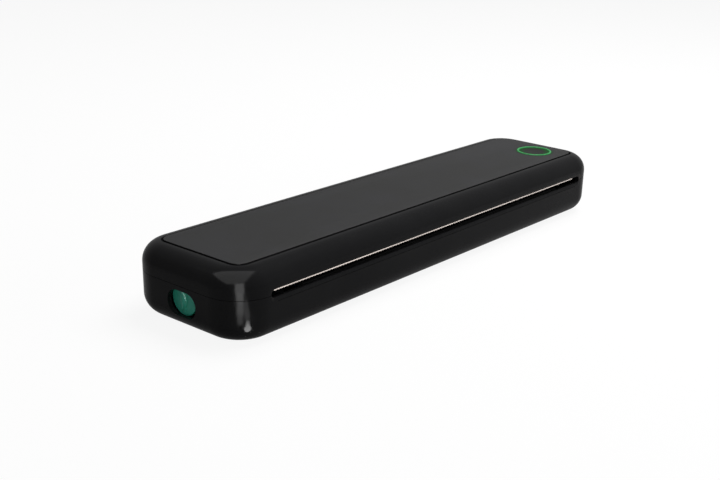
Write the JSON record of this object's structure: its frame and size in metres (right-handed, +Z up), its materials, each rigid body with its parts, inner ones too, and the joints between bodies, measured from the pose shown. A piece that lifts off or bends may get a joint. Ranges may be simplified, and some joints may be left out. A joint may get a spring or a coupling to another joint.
{
  "type": "a4 portable thermal printer",
  "caption": "Slim battery thermal-transfer page printer with a hinged lid, a long front paper outlet, a lit power button and a finger wheel for the ribbon.",
  "frame": {"origin": "middle of the footprint, on the surface the feet stand on", "axes": "+X towards the end with the power button, -Y towards the paper outlet, +Z up"},
  "size_m": [0.31, 0.0768, 0.036],
  "materials": {
    "shell_black": "satin moulded ABS",
    "plate_grey": "fine matt moulded plate",
    "button_grey": "fine matt",
    "ring_green": "translucent light guide, lit",
    "knob_green": "satin moulded",
    "hub_green": "satin moulded",
    "tear_steel": "ground stainless steel",
    "sheet_steel": "pressed zinc-plated sheet",
    "shaft_steel": "turned",
    "platen_rubber": "ground rubber",
    "bush_plastic": "moulded POM",
    "gear_plastic": "moulded POM",
    "ceramic_head": "glazed strip",
    "sink_aluminium": "extruded",
    "spring_steel": "spring strip",
    "core_card": "wound card tube",
    "ribbon_black": "wax-coated film",
    "felt": "pressed felt",
    "motor_steel": "drawn can",
    "board_green": "solder mask",
    "chip_black": "moulded chip cases",
    "cell_wrap": "shrink wrap",
    "inner_plastic": "moulded, fine texture",
    "magnet_nickel": "nickel plated",
    "foot_rubber": "moulded rubber",
    "screw_zinc": "zinc plated"
  },
  "bodies": {
    "base": {"base_shell": "shell_black", "side_plate_left": "sheet_steel", "side_plate_right": "sheet_steel", "gear_studs": "shaft_steel", "paper_deck": "inner_plastic", "deck_screws": "screw_zinc", "frame_screws": "screw_zinc", "main_board": "board_green", "main_board_screws": "screw_zinc", "board_parts": "chip_black", "battery_cells": "cell_wrap", "battery_tray": "inner_plastic", "usb_port": "shaft_steel", "usb_board": "board_green", "base_magnets": "magnet_nickel", "hinge_pins": "shaft_steel", "rubber_feet": "foot_rubber", "motor_can": "motor_steel", "head_springs": "spring_steel", "ribbon_web": "ribbon_black"},
    "cover": {"cover_shell": "shell_black", "top_plate": "plate_grey", "ring_light": "ring_green", "button_board": "board_green", "button_switch": "chip_black", "button_board_screws": "screw_zinc", "tear_bar": "tear_steel", "platen_bushes": "bush_plastic", "cover_magnets": "magnet_nickel"},
    "button": {"power_button": "button_grey"},
    "platen": {"platen_shaft": "shaft_steel", "platen_rubber": "platen_rubber", "platen_gear": "gear_plastic"},
    "motor_rotor": {"motor_shaft": "shaft_steel", "motor_pinion": "gear_plastic"},
    "reduction": {"reduction_gear": "gear_plastic"},
    "idler": {"idler_gear": "gear_plastic"},
    "takeup_drive": {"takeup_gear": "gear_plastic"},
    "takeup_spool": {"takeup_core": "core_card", "takeup_roll": "ribbon_black", "takeup_hub_left": "hub_green", "takeup_hub_right": "hub_green", "hand_wheel": "knob_green", "clutch_washer": "felt"},
    "supply_spool": {"supply_core": "core_card", "supply_roll": "ribbon_black", "supply_hubs": "hub_green"},
    "print_head": {"head_ceramic": "ceramic_head", "head_heat_sink": "sink_aluminium"}
  },
  "joints": [
    {"name": "cover_hinge", "type": "hinge", "parent": "base", "child": "cover", "pos_m": [0, 0.0357, 0.0225], "axis": [-1, 0, 0], "range_deg": [0, 80]},
    {"name": "button_press", "type": "slide", "parent": "cover", "child": "button", "axis": [0, 0, -1], "range_m": [0, 0.0004], "stiffness_N_per_m": 1500, "springref_m": -0.0002},
    {"name": "platen_spin", "type": "hinge", "parent": "cover", "child": "platen", "pos_m": [0, 0.015, 0.0271], "axis": [1, 0, 0], "continuous": true},
    {"name": "idler_spin", "type": "hinge", "parent": "base", "child": "idler", "pos_m": [0, 0.00982, 0.01854], "axis": [1, 0, 0], "continuous": true},
    {"name": "takeup_drive_spin", "type": "hinge", "parent": "base", "child": "takeup_drive", "pos_m": [0, 0.0004, 0.0152], "axis": [1, 0, 0], "continuous": true},
    {"name": "reduction_spin", "type": "hinge", "parent": "base", "child": "reduction", "pos_m": [0, -0.00667, 0.0127], "axis": [1, 0, 0], "continuous": true},
    {"name": "motor_spin", "type": "hinge", "parent": "base", "child": "motor_rotor", "pos_m": [0, -0.01659, 0.0114], "axis": [1, 0, 0], "continuous": true},
    {"name": "takeup_spin", "type": "hinge", "parent": "base", "child": "takeup_spool", "pos_m": [0, 0.0004, 0.0152], "axis": [1, 0, 0], "continuous": true},
    {"name": "supply_spin", "type": "hinge", "parent": "base", "child": "supply_spool", "pos_m": [0, 0.0272, 0.0152], "axis": [1, 0, 0], "continuous": true},
    {"name": "head_press", "type": "slide", "parent": "base", "child": "print_head", "axis": [0, 0, 1], "range_m": [-0.0006, 0], "stiffness_N_per_m": 5000, "springref_m": 0.001, "deforming": ["head_springs"]}
  ],
  "couplings": [
    {"joint": "idler_spin", "follows": "platen_spin", "ratio": -0.81818},
    {"joint": "takeup_drive_spin", "follows": "platen_spin", "ratio": 1},
    {"joint": "reduction_spin", "follows": "platen_spin", "ratio": -1.5},
    {"joint": "motor_spin", "follows": "platen_spin", "ratio": 4.5},
    {"joint": "takeup_spin", "follows": "platen_spin", "ratio": 0.77419},
    {"joint": "supply_spin", "follows": "platen_spin", "ratio": -0.77419}
  ]
}
